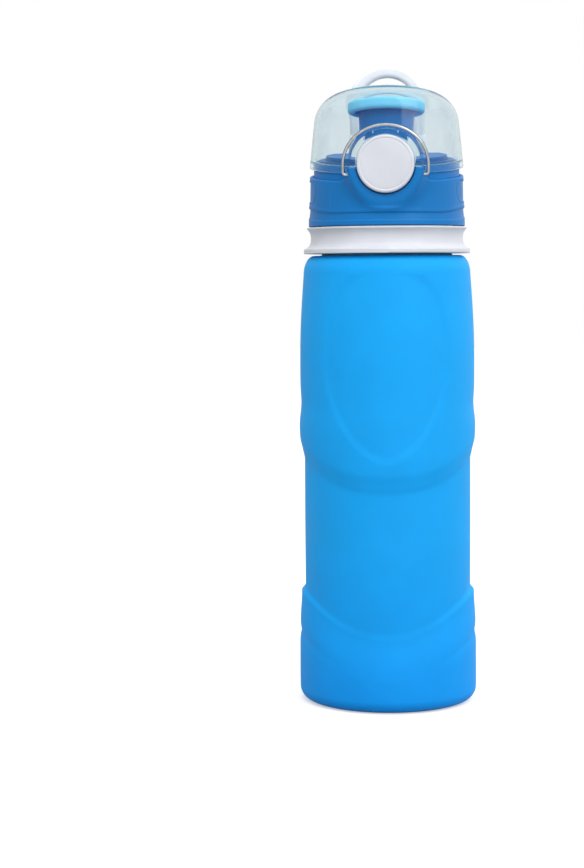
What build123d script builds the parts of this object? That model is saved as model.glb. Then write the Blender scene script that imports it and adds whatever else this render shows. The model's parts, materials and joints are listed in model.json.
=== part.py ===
"""Folding silicone water bottle, 0.7 litre, with a screw cap, a sprung flip cover and a carry loop.

The soft flask hangs from a rigid threaded neck sleeve, clamped by an outer collar ring. The cap screws
onto the sleeve. It carries an oval spout, a clear flip cover on a rear hinge, a round push button with its
latch in front, a wire bail that locks the cover, a sprung air vent and a carry loop on the hinge pin.

Millimetres. +Z is up, the origin is the centre of the base, and the button faces -Y.
"""
import os
from math import cos, radians, sin

from build123d import *

# Flask
FLASK_R = 37.5            # widest radius
WALL = 2.4
BASE_T = 4.0
SHOULDER_Z = 189.2
NECK_R = 25.7
BAND_SEAT_R, BAND_SEAT_Z = 28.6, 188.0
NECK_BORE = 23.4
NECK_TOP = 199.4
BEAD_R, BEAD_H = 27.2, 2.8

# Neck sleeve and collar ring
SKIRT_BORE, SKIRT_R = 21.4, 23.3
SEAT_Z, COLLAR_TOP = 199.6, 201.0
SLEEVE_BORE, SLEEVE_R, SLEEVE_TOP = 25.6, 27.8, 213.48
COLLAR_LOW, FLANGE_R, WAIST_R, RIM_R = 190.0, 35.1, 32.1, 33.7

# Thread between sleeve and cap: right-handed, one start
PITCH, TURNS = 5.0, 1.25
THREAD_DEPTH, THREAD_FOOT, THREAD_CREST = 1.6, 1.9, 1.1
SLEEVE_THREAD_Z, CAP_THREAD_Z = 204.4, 202.6

# Cap walls
CAP_LOW = 201.35
CORE_BORE, CORE_R = 29.7, 30.6
PLATE_Z, PLATE_T = 215.4, 2.2
PLATE_TOP = PLATE_Z + PLATE_T
SHELL_BORE, SHELL_TOP_R, SHELL_LOW_R = 30.75, 32.25, 32.55
BAND_R, FOOT_R = 32.7, 33.0
GRIP_Y, GRIP_Z, GRIP_L, GRIP_H, GRIP_R = 0.5, 216.0, 28.5, 9.0, 31.5
DECK_BORE, DECK_FRONT_R, DECK_REAR_R = 29.4, 30.9, 31.9
STEP_R, TIER_R, TIER_H, TIER_REAR = 28.6, 25.5, 2.5, 12.6
GROOVE_TOP, GROOVE_LOW = 3.1, 6.0    # below the seam
GAP = 0.12                # moulded parts that meet keep this gap

# Seam between cap and cover: a plane that rises to the rear
SEAM_Z, SEAM_TILT = 228.8, 7.3

# Cover: a tapered cone under a shallow dome that falls to the rear
COVER_R, COVER_TAPER, COVER_T = 32.4, 5.6, 2.0
SKIRT_H, SKIRT_REAR = 2.7, 4.0       # the cover's front rim hangs this far over the deck's edge
CONE_Z, CONE_H = 226.0, 40.0
DOME_R, DOME_Y, DOME_TOP = 170.0, -30.0, 258.9
EDGE_R = 8.0

# Spout and its seal: ovals, wide across the bottle, under a plane that falls to the rear
SPOUT_TOP_Z, SPOUT_TILT = 251.0, 9.0
DUCT = (9.9, 6.0)
SEAL = (16.3, 11.8)

# Rear hinge, shared by the cover and the carry loop
PIVOT_Y, PIVOT_Z = 36.5, 237.0
PIN_R, RUNNING = 1.5, 0.06
KNUCKLE_R, EAR_R = 3.7, 4.3
KNUCKLE_X, EAR_X, DISC_X = (4.0, 6.9), (7.2, 10.6), (11.2, 17.5)
LOOP_X, LOOP_TOP, LOOP_W, LOOP_D, DISC_R = 14.6, 272.2, 5.2, 5.6, 5.5

# Button, latch and bail
BUTTON_Z, BUTTON_R, BUTTON_FACE, BUTTON_T = 226.0, 11.7, -35.0, 1.9
POCKET_R, BOSS_R, BOSS_FACE = 12.2, 15.8, -33.2
ARCH_R, ARCH_FACE = 15.0, -32.6
STEM_Z, STEM_R, STEM_END = 221.3, 2.4, -27.6
LIP_Y, TOOTH_Y = -28.0, -27.85
SPRING_STOP, STOP_TOP = -17.5, 224.6
BAIL_Y, BAIL_Z, BAIL_LEAN = -31.2, 221.8, 12.5
WIRE_R, BAIL_HALF, BAIL_STRAIGHT, BAIL_RISE = 0.65, 17.4, 4.0, 16.3

# Air vent behind the spout
VENT_Y, VENT_SEAT, VENT_HEAD = 19.2, 226.7, 239.3


def rising(tilt, z):
    """A plane through (0, 0, z) that rises towards +Y by tilt degrees."""
    return Plane(origin=(0, 0, z), x_dir=(1, 0, 0), z_dir=(0, -sin(radians(tilt)), cos(radians(tilt))))


SEAM = rising(SEAM_TILT, SEAM_Z)
SPOUT_TOP = rising(-SPOUT_TILT, SPOUT_TOP_Z)


def puck(radius, low, top):
    """An upright cylinder from z = low to a tilted plane."""
    with BuildPart() as slab:
        with BuildSketch(Plane.XY.offset(low)):
            Circle(radius)
        extrude(amount=80)
        split(bisect_by=top, keep=Keep.BOTTOM)
    return slab.part


def oval_slab(rx, ry, plane, low, high):
    """An oval slab between two offsets of a plane."""
    with BuildPart() as slab:
        with BuildSketch(plane.offset(low)):
            Ellipse(rx, ry)
        extrude(amount=high - low)
    return slab.part


def cross_rod(radius, x0, x1, y, z):
    """A rod along X."""
    with BuildPart() as rod:
        with BuildSketch(Plane.YZ.offset(x0)):
            with Locations((y, z)):
                Circle(radius)
        extrude(amount=x1 - x0)
    return rod.part


def front_rod(radius, y0, y1, z):
    """A rod along Y, from y0 in front to y1 behind it."""
    with BuildPart() as rod:
        with BuildSketch(Plane.XZ.offset(-y1)):
            with Locations((0, z)):
                Circle(radius)
        extrude(amount=y1 - y0)
    return rod.part


def thread_ridge(start_z, root, depth):
    """One helical ridge. A negative depth points inwards, as in a cap."""
    with BuildPart() as ridge:
        with BuildLine() as path:
            helix = Helix(pitch=PITCH, height=PITCH * TURNS, radius=root, center=(0, 0, start_z))
        with BuildSketch(Plane(origin=helix @ 0, x_dir=(1, 0, 0), z_dir=helix % 0)):
            Polygon(
                (0, -THREAD_FOOT / 2), (depth, -THREAD_CREST / 2),
                (depth, THREAD_CREST / 2), (0, THREAD_FOOT / 2), align=None,
            )
        sweep(path=path.line, is_frenet=True)
    return ridge.part


def coil(origin, direction, radius, wire, length, turns):
    """A round-wire helical spring body."""
    with BuildPart() as spring:
        with BuildLine() as path:
            helix = Helix(length / turns, length, radius, center=origin, direction=direction)
        with BuildSketch(Plane(origin=helix @ 0, z_dir=helix % 0)):
            Circle(wire)
        sweep(path=path.line, is_frenet=True)
    return spring.part


os.makedirs("parts", exist_ok=True)


# ---------------------------------------------------------------- flask: one soft moulding, neck to base
SIDE = [
    (FLASK_R - 0.1, 5.4), (FLASK_R, 16.0), (37.2, 40.0), (35.7, 54.0), (35.4, 76.0), (35.6, 97.0),
    (37.0, 110.0), (37.1, 122.0), (37.1, 148.0), (36.4, 172.0), (35.4, 182.0),
]
INNER_SIDE = [(r - WALL, z) for r, z in SIDE]

with BuildPart() as flask:
    with BuildSketch(Plane.XZ):
        with BuildLine():
            base = Line((0, 0), (32.2, 0))
            foot = ThreePointArc(base @ 1, (35.9, 1.55), SIDE[0])
            side = Spline(*SIDE)
            shoulder = ThreePointArc(side @ 1, (34.2, 187.4), (31.2, SHOULDER_Z))
            neck = Polyline(
                shoulder @ 1, (BAND_SEAT_R + 0.8, SHOULDER_Z), (BAND_SEAT_R, SHOULDER_Z - 0.8),
                (BAND_SEAT_R, BAND_SEAT_Z), (NECK_R, BAND_SEAT_Z), (NECK_R, NECK_TOP - BEAD_H),
                (BEAD_R, NECK_TOP - BEAD_H), (BEAD_R, NECK_TOP), (NECK_BORE, NECK_TOP),
                (NECK_BORE, BAND_SEAT_Z - WALL), (30.2, BAND_SEAT_Z - WALL),
            )
            inner_shoulder = ThreePointArc(neck @ 1, (32.1, 184.8), INNER_SIDE[-1])
            inner_side = Spline(*INNER_SIDE[::-1])
            inner_foot = ThreePointArc(inner_side @ 1, (34.0, BASE_T + 0.9), (32.0, BASE_T))
            Polyline(inner_foot @ 1, (0, BASE_T), (0, 0))
        make_face()
    revolve(axis=Axis.Z)
flask.part.label = "flask"
export_step(flask.part, "parts/flask.step")


# ---------------------------------------------------------------- roll band: stowed round the neck
BAND_WIRE = 0.95
with BuildPart() as roll_band:
    with BuildSketch(Plane.XZ):
        with Locations((NECK_R + 0.2 + BAND_WIRE, BAND_SEAT_Z + 0.05 + BAND_WIRE)):
            Circle(BAND_WIRE)
    revolve(axis=Axis.Z)
roll_band.part.label = "roll_band"
export_step(roll_band.part, "parts/roll_band.step")


# ---------------------------------------------------------------- neck sleeve: rigid mouth with the thread
sleeve_thread = thread_ridge(SLEEVE_THREAD_Z, SLEEVE_R - 0.2, THREAD_DEPTH)
with BuildPart() as neck_sleeve:
    with BuildSketch(Plane.XZ):
        with BuildLine():
            Polyline(
                (SKIRT_BORE, 187.2), (SKIRT_R, 187.2), (SKIRT_R, SEAT_Z), (30.3, SEAT_Z),
                (30.3, COLLAR_TOP), (SLEEVE_R, COLLAR_TOP), (SLEEVE_R, SLEEVE_TOP),
                (SLEEVE_BORE, SLEEVE_TOP), (SLEEVE_BORE, 204.0), (SKIRT_BORE, SEAT_Z), close=True,
            )
        make_face()
    revolve(axis=Axis.Z)
    fillet(edges().filter_by(GeomType.CIRCLE).group_by(Axis.Z)[-1], 0.5)
    add(sleeve_thread)
neck_sleeve.part.label = "neck_sleeve"
export_step(neck_sleeve.part, "parts/neck_sleeve.step")


# ---------------------------------------------------------------- collar ring: clamps the flask's neck
with BuildPart() as collar_ring:
    with BuildSketch(Plane.XZ):
        with BuildLine():
            hub = Polyline(
                (30.45, COLLAR_TOP), (30.45, SEAT_Z), (BEAD_R + 0.2, SEAT_Z), (BEAD_R + 0.2, 196.4),
                (NECK_R + 0.1, 196.4), (NECK_R + 0.1, 190.45), (28.6, 190.45), (28.6, 197.4),
                (30.9, 197.4), (30.9, 192.6), (32.6, COLLAR_LOW), (FLANGE_R - 0.5, COLLAR_LOW),
            )
            lip = ThreePointArc(hub @ 1, (FLANGE_R - 0.1, COLLAR_LOW + 0.15), (FLANGE_R, COLLAR_LOW + 0.6))
            edge = Line(lip @ 1, (FLANGE_R, 191.5))
            top_lip = ThreePointArc(edge @ 1, (FLANGE_R - 0.2, 192.0), (FLANGE_R - 0.8, 192.3))
            waist = Spline(top_lip @ 1, (32.7, 193.6), (WAIST_R, 196.0), (32.4, 198.6), (RIM_R, 200.3))
            Polyline(waist @ 1, (RIM_R, COLLAR_TOP - 0.2), (RIM_R - 0.2, COLLAR_TOP), (30.45, COLLAR_TOP))
        make_face()
    revolve(axis=Axis.Z)
collar_ring.part.label = "collar_ring"
export_step(collar_ring.part, "parts/collar_ring.step")


# ---------------------------------------------------------------- cap gasket: seals on the sleeve's rim
with BuildPart() as cap_gasket:
    with BuildSketch(Plane.XY.offset(SLEEVE_TOP)):
        Circle(28.4)
        Circle(24.9, mode=Mode.SUBTRACT)
    extrude(amount=PLATE_Z - SLEEVE_TOP)
cap_gasket.part.label = "cap_gasket"
export_step(cap_gasket.part, "parts/cap_gasket.step")


# ---------------------------------------------------------------- cap core: thread wall, plate and spout
cap_thread = thread_ridge(CAP_THREAD_Z, CORE_BORE + 0.2, -THREAD_DEPTH)
SPOUT_SECTIONS = [
    (217.0, 13.4, 9.4), (229.0, 12.2, 8.5), (242.0, 11.4, 7.7), (248.0, 11.7, 8.0), (256.0, 12.2, 8.4),
]
with BuildPart() as cap_core:
    with BuildSketch(Plane.XZ):
        with BuildLine():
            Polyline(
                (0, PLATE_Z), (CORE_BORE, PLATE_Z), (CORE_BORE, CAP_LOW + 0.3), (CORE_R, CAP_LOW + 0.3),
                (CORE_R, PLATE_TOP), (0, PLATE_TOP), close=True,
            )
        make_face()
    revolve(axis=Axis.Z)
    for z, rx, ry in SPOUT_SECTIONS:
        with BuildSketch(Plane.XY.offset(z)):
            Ellipse(rx, ry)
    loft()
    split(bisect_by=SPOUT_TOP, keep=Keep.BOTTOM)
    with BuildSketch(Plane.XY.offset(PLATE_TOP - 0.5)):
        with Locations((0, VENT_Y)):
            Circle(3.4)
    extrude(amount=VENT_SEAT - PLATE_TOP + 0.5)
    with BuildSketch(Plane.XY.offset(PLATE_TOP - 0.5)):
        with Locations((0, SPRING_STOP + 0.9)):
            Rectangle(7.0, 1.8)
    extrude(amount=STOP_TOP - PLATE_TOP + 0.5)
    with BuildSketch(Plane.XY.offset(PLATE_Z - 1)):
        Ellipse(*DUCT)
        with Locations((0, VENT_Y)):
            Circle(1.5)
    extrude(amount=60, mode=Mode.SUBTRACT)
    fillet(edges().filter_by(lambda e: e.center().Z > SPOUT_TOP_Z - 2), 0.6)
    add(cap_thread)
cap_core.part.label = "cap_core"
export_step(cap_core.part, "parts/cap_core.step")


# ---------------------------------------------------------------- cap shell: outer grip skin and button boss
shell_blank = puck(60, 190, SEAM.offset(-GROOVE_LOW))
lower_band = puck(BAND_R, CAP_LOW, rising(3.5, 208.7))
boss = front_rod(BOSS_R, BOSS_FACE, -20, BUTTON_Z)
below_seam = puck(60, 190, SEAM.offset(-GAP))

with BuildPart() as grip_panels:
    with BuildSketch(Plane.YZ.offset(25)):
        with Locations((GRIP_Y, GRIP_Z)):
            SlotOverall(GRIP_L, GRIP_H)
    extrude(amount=15)
    mirror(about=Plane.YZ)
    with BuildSketch(Plane.XY.offset(190)):
        Circle(GRIP_R)
    extrude(amount=60, mode=Mode.SUBTRACT)

with BuildPart() as grip_rims:
    with BuildSketch(Plane.YZ.offset(25)):
        with Locations((GRIP_Y, GRIP_Z)):
            SlotOverall(GRIP_L + 1.4, GRIP_H + 1.4)
            SlotOverall(GRIP_L, GRIP_H, mode=Mode.SUBTRACT)
    extrude(amount=15)
    mirror(about=Plane.YZ)
    with BuildSketch(Plane.XY.offset(190)):
        Circle(SHELL_LOW_R + 0.1)
        Circle(SHELL_BORE + 0.2, mode=Mode.SUBTRACT)
    extrude(amount=60, mode=Mode.INTERSECT)

with BuildPart() as cap_shell:
    with BuildSketch(Plane.XZ):
        with BuildLine():
            Polyline(
                (SHELL_BORE, CAP_LOW), (SHELL_LOW_R, CAP_LOW), (SHELL_TOP_R, 235), (SHELL_BORE, 235),
                close=True,
            )
        make_face()
    revolve(axis=Axis.Z)
    add(shell_blank, mode=Mode.INTERSECT)
    add(grip_rims.part)
    add(lower_band)
    with BuildSketch(Plane.XY.offset(CAP_LOW)):
        Circle(FOOT_R)
    extrude(amount=1.5)
    with BuildSketch(rising(2.0, 204.2)):
        Circle(40)
        Circle(BAND_R - 0.35, mode=Mode.SUBTRACT)
    extrude(amount=0.5, mode=Mode.SUBTRACT)
    add(boss)
    add(below_seam, mode=Mode.INTERSECT)
    add(grip_panels.part, mode=Mode.SUBTRACT)
    with BuildSketch(Plane.XY.offset(190)):
        Circle(SHELL_BORE)
    extrude(amount=60, mode=Mode.SUBTRACT)
    add(front_rod(POCKET_R, -40, -20, BUTTON_Z), mode=Mode.SUBTRACT)
    add(cross_rod(WIRE_R + 0.08, -BOSS_R, BOSS_R, BAIL_Y, BAIL_Z), mode=Mode.SUBTRACT)
cap_shell.part.label = "cap_shell"
export_step(cap_shell.part, "parts/cap_shell.step")


# ---------------------------------------------------------------- deck trim: stepped top, flange, hinge ears
rim = puck(CORE_R, PLATE_TOP, SEAM.offset(-GAP))
step = puck(STEP_R, PLATE_TOP, SEAM.offset(0.8))
under_flange = puck(60, 200, SEAM.offset(-GROOVE_TOP))
under_deck = puck(DECK_BORE, PLATE_TOP - 1, SEAM.offset(-1.6))

with BuildPart() as rear_flange:
    add(puck(DECK_REAR_R, PLATE_TOP, SEAM.offset(-GAP)))
    split(bisect_by=Plane.XZ.offset(-SKIRT_REAR - 0.2), keep=Keep.BOTTOM)

with BuildPart() as tier:
    add(puck(TIER_R, PLATE_TOP, SEAM.offset(TIER_H)))
    split(bisect_by=Plane.XZ.offset(-TIER_REAR), keep=Keep.TOP)

with BuildPart() as deck_trim:
    add(puck(DECK_FRONT_R, PLATE_TOP, SEAM.offset(-GAP)))
    add(rear_flange.part)
    add(under_flange, mode=Mode.SUBTRACT)
    add(front_rod(BOSS_R + 0.2, -40, -20, BUTTON_Z), mode=Mode.SUBTRACT)
    add(rim)
    add(step)
    add(tier.part)
    with BuildSketch(Plane.YZ.offset(EAR_X[0])):
        with BuildLine():
            Polyline(
                (30.0, 228.7), (34.2, 228.7), (40.3, 234.9), (40.8, PIVOT_Z),
                (32.2, PIVOT_Z), (32.2, 233.3), (30.0, 232.4), close=True,
            )
        make_face()
        with Locations((PIVOT_Y, PIVOT_Z)):
            Circle(EAR_R)
    extrude(amount=EAR_X[1] - EAR_X[0])
    mirror(about=Plane.YZ)
    with BuildSketch(Plane.YZ.offset(-EAR_X[1])):
        with BuildLine():
            Polyline((30.0, 228.7), (34.2, 228.7), (36.8, 231.3), (30.0, 231.3), close=True)
        make_face()
    extrude(amount=2 * EAR_X[1])
    add(under_deck, mode=Mode.SUBTRACT)
    with BuildSketch(Plane.XY.offset(PLATE_TOP - 1)):
        Ellipse(13.9, 9.7)
        with Locations((0, VENT_Y)):
            Circle(1.6)
        with Locations((0, -25.7)):
            Rectangle(8.4, 5.0)
    extrude(amount=30, mode=Mode.SUBTRACT)
    add(front_rod(STEM_R + 0.2, -40, -26, STEM_Z), mode=Mode.SUBTRACT)
    add(cross_rod(PIN_R + 0.02, -20, 20, PIVOT_Y, PIVOT_Z), mode=Mode.SUBTRACT)
deck_trim.part.label = "deck_trim"
export_step(deck_trim.part, "parts/deck_trim.step")


# ---------------------------------------------------------------- flip cover: clear shell, arch, knuckles
def cover_form(inset):
    """The cover's outer form, or the form of its inside when inset by the wall."""
    with BuildPart() as dome:
        with Locations((0, DOME_Y, DOME_TOP - DOME_R)):
            Sphere(DOME_R - inset, rotation=(0, 90, 0))
    with BuildPart() as form:
        with BuildSketch(Plane.XY.offset(CONE_Z - 10)):
            Circle(COVER_R - inset + 10 * sin(radians(COVER_TAPER)))
        extrude(amount=CONE_H + 10, taper=COVER_TAPER)
        add(dome.part, mode=Mode.INTERSECT)
        fillet(edges().group_by(Axis.Z)[-1], EDGE_R - inset)
    return form.part


outer_form = cover_form(0)
inner_form = cover_form(COVER_T)
with BuildPart() as skirt:
    add(outer_form)
    split(bisect_by=SEAM.offset(0.6), keep=Keep.BOTTOM)
    split(bisect_by=SEAM.offset(-SKIRT_H), keep=Keep.TOP)
    split(bisect_by=Plane.XZ.offset(-SKIRT_REAR), keep=Keep.TOP)
    add(puck(DECK_FRONT_R + 0.15, 190, SEAM.offset(5)), mode=Mode.SUBTRACT)
    add(front_rod(BOSS_R + 0.3, -40, -20, BUTTON_Z), mode=Mode.SUBTRACT)

arch = front_rod(ARCH_R, ARCH_FACE, -29.3, BUTTON_Z)
under_cover = puck(60, 190, SEAM.offset(GAP))
under_pad = puck(STEP_R + 0.25, 190, SEAM.offset(TIER_H + 0.3))

with BuildPart() as flip_cover:
    add(outer_form)
    add(inner_form, mode=Mode.SUBTRACT)
    add(arch)
    with BuildSketch(Plane.YZ.offset(-4.0)):
        with BuildLine():
            Polyline(
                (-29.6, 229.2), (LIP_Y - 0.3, 229.2), (LIP_Y, 229.6), (LIP_Y, 230.6), (-29.6, 231.0),
                close=True,
            )
        make_face()
    extrude(amount=8.0)
    with BuildSketch(SPOUT_TOP.offset(0.6)):
        Ellipse(SEAL[0] + 1.3, SEAL[1] + 1.3)
        Ellipse(SEAL[0] + 0.15, SEAL[1] + 0.15, mode=Mode.SUBTRACT)
    extrude(amount=3.3)
    with BuildSketch(Plane.XY.offset(VENT_HEAD + 1.7)):
        with Locations((0, VENT_Y)):
            Circle(2.2)
    extrude(amount=9.6)
    with BuildSketch(Plane.YZ.offset(KNUCKLE_X[0])):
        with Locations((PIVOT_Y, PIVOT_Z)):
            Circle(KNUCKLE_R)
        with Locations(((PIVOT_Y + 30.6) / 2, PIVOT_Z)):
            Rectangle(PIVOT_Y - 30.6, 2 * KNUCKLE_R)
    extrude(amount=KNUCKLE_X[1] - KNUCKLE_X[0])
    mirror(about=Plane.YZ)
    add(under_cover, mode=Mode.SUBTRACT)
    add(under_pad, mode=Mode.SUBTRACT)
    add(skirt.part)
    add(front_rod(POCKET_R, -40, -31.2, BUTTON_Z), mode=Mode.SUBTRACT)
    with BuildSketch(Plane.XZ.offset(-ARCH_FACE)):
        with Locations((0, BUTTON_Z + (POCKET_R + ARCH_R) / 2)):
            RectangleRounded(10.0, 1.2, 0.55)
    extrude(amount=-0.8, mode=Mode.SUBTRACT)
    add(cross_rod(PIN_R + RUNNING, -20, 20, PIVOT_Y, PIVOT_Z), mode=Mode.SUBTRACT)
    add(cross_rod(0.5, -5.4, -3.9, PIVOT_Y, PIVOT_Z + 2.6), mode=Mode.SUBTRACT)
flip_cover.part.label = "flip_cover"
export_step(flip_cover.part, "parts/flip_cover.step")


# ---------------------------------------------------------------- spout seal: soft pad that caps the spout
with BuildPart() as spout_seal:
    add(oval_slab(*SEAL, SPOUT_TOP, -2.6, 3.0))
    fillet(edges().group_by(Axis.Z)[0], 1.6)
    add(oval_slab(13.0, 8.9, SPOUT_TOP, -3, 0.1), mode=Mode.SUBTRACT)
    add(oval_slab(9.5, 5.6, SPOUT_TOP, -1.6, 0.5))
    add(cover_form(COVER_T + GAP), mode=Mode.INTERSECT)
spout_seal.part.label = "spout_seal"
export_step(spout_seal.part, "parts/spout_seal.step")


# ---------------------------------------------------------------- hinge pin, washers and torsion spring
PIN_HALF = DISC_X[1] - 0.4
with BuildPart() as hinge_pin:
    add(cross_rod(PIN_R, -PIN_HALF, PIN_HALF, PIVOT_Y, PIVOT_Z))
    add(cross_rod(2.3, PIN_HALF - 0.8, PIN_HALF, PIVOT_Y, PIVOT_Z))
    add(cross_rod(2.3, -PIN_HALF, 0.8 - PIN_HALF, PIVOT_Y, PIVOT_Z))
hinge_pin.part.label = "hinge_pin"
export_step(hinge_pin.part, "parts/hinge_pin.step")

with BuildPart() as hinge_washers:
    add(cross_rod(4.4, EAR_X[1] + 0.1, DISC_X[0] - 0.1, PIVOT_Y, PIVOT_Z))
    add(cross_rod(PIN_R + RUNNING, 5, 15, PIVOT_Y, PIVOT_Z), mode=Mode.SUBTRACT)
    mirror(about=Plane.YZ)
hinge_washers.part.label = "hinge_washers"
export_step(hinge_washers.part, "parts/hinge_washers.step")

COIL_R, COIL_WIRE, LEG_WIRE, COIL_X = 2.6, 0.35, 0.38, 3.2
hinge_coil = coil((-COIL_X, PIVOT_Y, PIVOT_Z), (1, 0, 0), COIL_R, COIL_WIRE, 2 * COIL_X, 6.25)
with BuildPart() as hinge_spring:
    add(hinge_coil)
    add(cross_rod(LEG_WIRE, -5.2, 0.1 - COIL_X, PIVOT_Y, PIVOT_Z + COIL_R))
    with BuildSketch(Plane.XY.offset(231.6)):
        with Locations((COIL_X, PIVOT_Y - COIL_R)):
            Circle(LEG_WIRE)
    extrude(amount=PIVOT_Z + 0.1 - 231.6)
hinge_spring.part.label = "hinge_spring"
export_step(hinge_spring.part, "parts/hinge_spring.step")


# ---------------------------------------------------------------- carry loop on the hinge pin
with BuildPart() as hinge_disc:
    add(cross_rod(DISC_R, *DISC_X, PIVOT_Y, PIVOT_Z))
    fillet(edges().filter_by(GeomType.CIRCLE), 0.8)

with BuildPart() as carry_handle:
    with BuildLine(Plane.XZ.offset(-PIVOT_Y)) as loop_path:
        left_leg = Line((-LOOP_X, PIVOT_Z + 2), (-LOOP_X, LOOP_TOP - LOOP_W / 2 - LOOP_X))
        bow = ThreePointArc(left_leg @ 1, (0, LOOP_TOP - LOOP_W / 2), (LOOP_X, (left_leg @ 1).Z))
        Line(bow @ 1, (LOOP_X, PIVOT_Z + 2))
    with BuildSketch(Plane(origin=(-LOOP_X, PIVOT_Y, PIVOT_Z + 2), x_dir=(1, 0, 0), z_dir=(0, 0, 1))):
        RectangleRounded(LOOP_W, LOOP_D, 1.7)
    sweep(path=loop_path.line)
    add(hinge_disc.part)
    mirror(about=Plane.YZ)
    add(cross_rod(PIN_R + RUNNING, -20, 20, PIVOT_Y, PIVOT_Z), mode=Mode.SUBTRACT)
    for side_x in (PIN_HALF - 0.9, -20):
        add(cross_rod(2.45, side_x, side_x + 20 - PIN_HALF + 0.9, PIVOT_Y, PIVOT_Z), mode=Mode.SUBTRACT)
carry_handle.part.label = "carry_handle"
export_step(carry_handle.part, "parts/carry_handle.step")


# ---------------------------------------------------------------- button, latch slider and their spring
with BuildPart() as button:
    add(front_rod(BUTTON_R, BUTTON_FACE, BUTTON_FACE + BUTTON_T, BUTTON_Z))
    fillet(edges().group_by(Axis.Y)[0], 0.7)
    add(front_rod(STEM_R, BUTTON_FACE + BUTTON_T - 0.2, STEM_END, STEM_Z))
button.part.label = "button"
export_step(button.part, "parts/button.step")

with BuildPart() as latch_slider:
    with BuildSketch(Plane.YZ.offset(-4.0)):
        with BuildLine():
            Polyline(
                (-29.0, PLATE_TOP + 0.2), (-24.8, PLATE_TOP + 0.2), (-24.8, 232.7), (-26.4, 232.7),
                (TOOTH_Y, 231.9), (TOOTH_Y, 231.2), (-26.8, 231.2), (-26.8, 223.4), (-29.0, 223.4),
                close=True,
            )
        make_face()
    extrude(amount=8.0)
    add(front_rod(STEM_R + 0.05, -30, STEM_END + 0.1, STEM_Z), mode=Mode.SUBTRACT)
latch_slider.part.label = "latch_slider"
export_step(latch_slider.part, "parts/latch_slider.step")

SPRING_FRONT = -24.3
with BuildPart() as button_spring:
    add(coil((0, SPRING_FRONT, STEM_Z), (0, 1, 0), 1.8, 0.28, SPRING_STOP - 0.4 - SPRING_FRONT, 6))
button_spring.part.label = "button_spring"
export_step(button_spring.part, "parts/button_spring.step")


# ---------------------------------------------------------------- lock bail: bent wire over the button
lean = radians(BAIL_LEAN)
BAIL_PLANE = Plane(origin=(0, BAIL_Y, BAIL_Z), x_dir=(1, 0, 0), z_dir=(0, -cos(lean), -sin(lean)))
HOOK_X, BEND_R = 13.5, 1.1
with BuildPart() as lock_bail:
    with BuildLine(BAIL_PLANE) as bail_path:
        right_hook = Line((HOOK_X, 0), (BAIL_HALF - BEND_R, 0))
        right_bend = JernArc(right_hook @ 1, (1, 0), BEND_R, 90)
        right_leg = Line(right_bend @ 1, (BAIL_HALF, BAIL_STRAIGHT))
        hoop = EllipticalCenterArc((0, BAIL_STRAIGHT), BAIL_HALF, BAIL_RISE, start_angle=0, arc_size=180)
        left_leg = Line((-BAIL_HALF, BAIL_STRAIGHT), (-BAIL_HALF, BEND_R))
        left_bend = JernArc((-BAIL_HALF, BEND_R), (0, -1), BEND_R, 90)
        Line(left_bend @ 1, (-HOOK_X, 0))
    with BuildSketch(Plane(origin=(HOOK_X, BAIL_Y, BAIL_Z), z_dir=(1, 0, 0))):
        Circle(WIRE_R)
    sweep(path=bail_path.line)
lock_bail.part.label = "lock_bail"
export_step(lock_bail.part, "parts/lock_bail.step")


# ---------------------------------------------------------------- air vent: stem, seal and spring
with BuildPart() as vent_stem:
    with BuildSketch(Plane.XY.offset(VENT_SEAT + 1.2)):
        with Locations((0, VENT_Y)):
            Circle(1.15)
    extrude(amount=VENT_HEAD + 0.5 - VENT_SEAT - 1.2)
    with BuildSketch(Plane.XY.offset(VENT_HEAD)):
        with Locations((0, VENT_Y)):
            Circle(3.3)
    extrude(amount=1.6)
    fillet(edges().group_by(Axis.Z)[-1], 0.5)
    with BuildSketch(Plane.XY.offset(VENT_HEAD - 1.6)):
        with Locations((0, VENT_Y)):
            Circle(3.3)
            Circle(2.85, mode=Mode.SUBTRACT)
    extrude(amount=1.7)
vent_stem.part.label = "vent_stem"
export_step(vent_stem.part, "parts/vent_stem.step")

with BuildPart() as vent_seal:
    with BuildSketch(Plane.XY.offset(VENT_SEAT)):
        with Locations((0, VENT_Y)):
            Circle(2.5)
    extrude(amount=1.18)
vent_seal.part.label = "vent_seal"
export_step(vent_seal.part, "parts/vent_seal.step")

VENT_SPRING_LOW = 232.6
with BuildPart() as vent_spring:
    add(coil((0, VENT_Y, VENT_SPRING_LOW), (0, 0, 1), 2.1, 0.3, VENT_HEAD - 0.35 - VENT_SPRING_LOW, 5))
vent_spring.part.label = "vent_spring"
export_step(vent_spring.part, "parts/vent_spring.step")
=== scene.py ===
"""Looks of the folding silicone water bottle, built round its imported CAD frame.

Objects are in metres, +Z is up and the front faces -Y. Shapes are written in millimetres.
"""
import json
from math import cos, exp, pi, radians, sin, sqrt, tan

import bpy
import numpy as np
from mathutils import Matrix, Vector

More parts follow.
